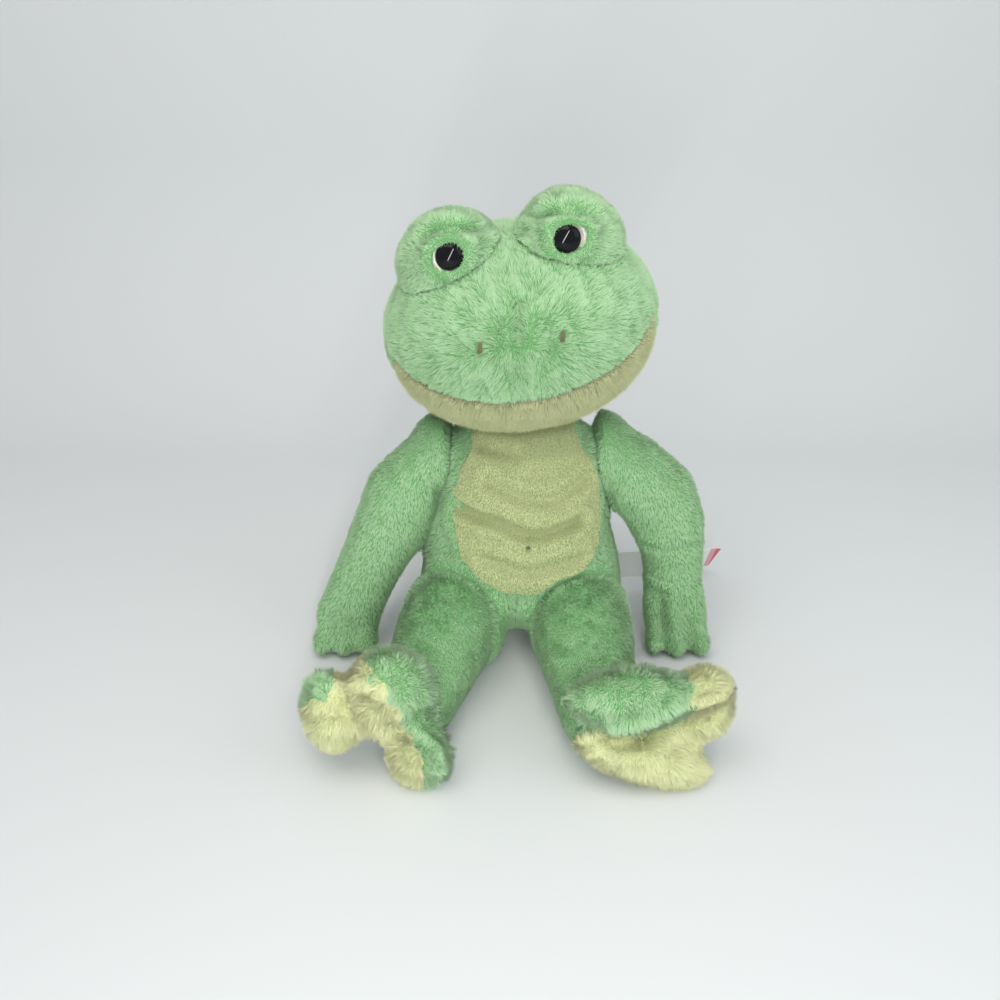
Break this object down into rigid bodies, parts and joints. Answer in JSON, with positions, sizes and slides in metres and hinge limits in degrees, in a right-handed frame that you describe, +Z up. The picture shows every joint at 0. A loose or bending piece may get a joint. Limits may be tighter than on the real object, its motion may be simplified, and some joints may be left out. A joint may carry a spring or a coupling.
{
  "type": "plush frog",
  "caption": "Sitting plush frog with a broad head, domed plastic eyes on stuffed mounds, a let-in belly panel, and arms and legs that swing at their seams.",
  "frame": {"origin": "on the seat face, under the middle of the torso", "axes": "+Z up, the frog faces -Y, and +X is the frog's own left"},
  "size_m": [0.3159, 0.245, 0.3167],
  "materials": {
    "green_pile": "short soft pile",
    "belly_pile": "very short soft pile",
    "jaw_pile": "short soft pile",
    "sole_pile": "short soft pile",
    "cream_plastic": "moulded, glossy",
    "black_plastic": "polished dome",
    "white_plastic": "moulded, matte",
    "brown_thread": "embroidery thread",
    "green_thread": "embroidery thread",
    "bag_cloth": "plain woven",
    "label_cloth": "satin, plain"
  },
  "bodies": {
    "torso": {"torso": "green_pile", "belly_panel": "belly_pile", "pellet_bag": "bag_cloth", "navel_stitch": "green_thread", "label": "label_cloth"},
    "head": {"head": "green_pile", "jaw": "jaw_pile", "eye_mound_left": "green_pile", "eye_mound_right": "green_pile", "eye_left": "cream_plastic", "eye_right": "cream_plastic", "pupil_left": "black_plastic", "pupil_right": "black_plastic", "eye_washer_left": "white_plastic", "eye_washer_right": "white_plastic", "nostril_left": "brown_thread", "nostril_right": "brown_thread"},
    "arm_left": {"arm_left": "green_pile"},
    "arm_right": {"arm_right": "green_pile"},
    "leg_left": {"leg_left": "green_pile"},
    "leg_right": {"leg_right": "green_pile"},
    "foot_left": {"foot_left": "green_pile", "sole_left": "sole_pile"},
    "foot_right": {"foot_right": "green_pile", "sole_right": "sole_pile"}
  },
  "joints": [
    {"name": "neck_nod", "type": "hinge", "parent": "torso", "child": "head", "pos_m": [0, 0.004, 0.164], "axis": [1, 0, 0], "range_deg": [-20, 12]},
    {"name": "shoulder_left", "type": "hinge", "parent": "torso", "child": "arm_left", "pos_m": [0.052, 0.002, 0.143], "axis": [-1, 0, 0], "range_deg": [-18, 90]},
    {"name": "shoulder_right", "type": "hinge", "parent": "torso", "child": "arm_right", "pos_m": [-0.052, 0.002, 0.143], "axis": [-1, 0, 0], "range_deg": [-18, 90]},
    {"name": "hip_left", "type": "hinge", "parent": "torso", "child": "leg_left", "pos_m": [0.039, -0.038, 0.026], "axis": [1, 0, 0], "range_deg": [0, 90]},
    {"name": "hip_right", "type": "hinge", "parent": "torso", "child": "leg_right", "pos_m": [-0.045, -0.038, 0.026], "axis": [1, 0, 0], "range_deg": [0, 90]},
    {"name": "ankle_left", "type": "hinge", "parent": "leg_left", "child": "foot_left", "pos_m": [0.0442, -0.1379, 0.0235], "axis": [1, 0, 0], "range_deg": [-30, 30]},
    {"name": "ankle_right", "type": "hinge", "parent": "leg_right", "child": "foot_right", "pos_m": [-0.0692, -0.135, 0.0235], "axis": [1, 0, 0], "range_deg": [-30, 30]}
  ]
}
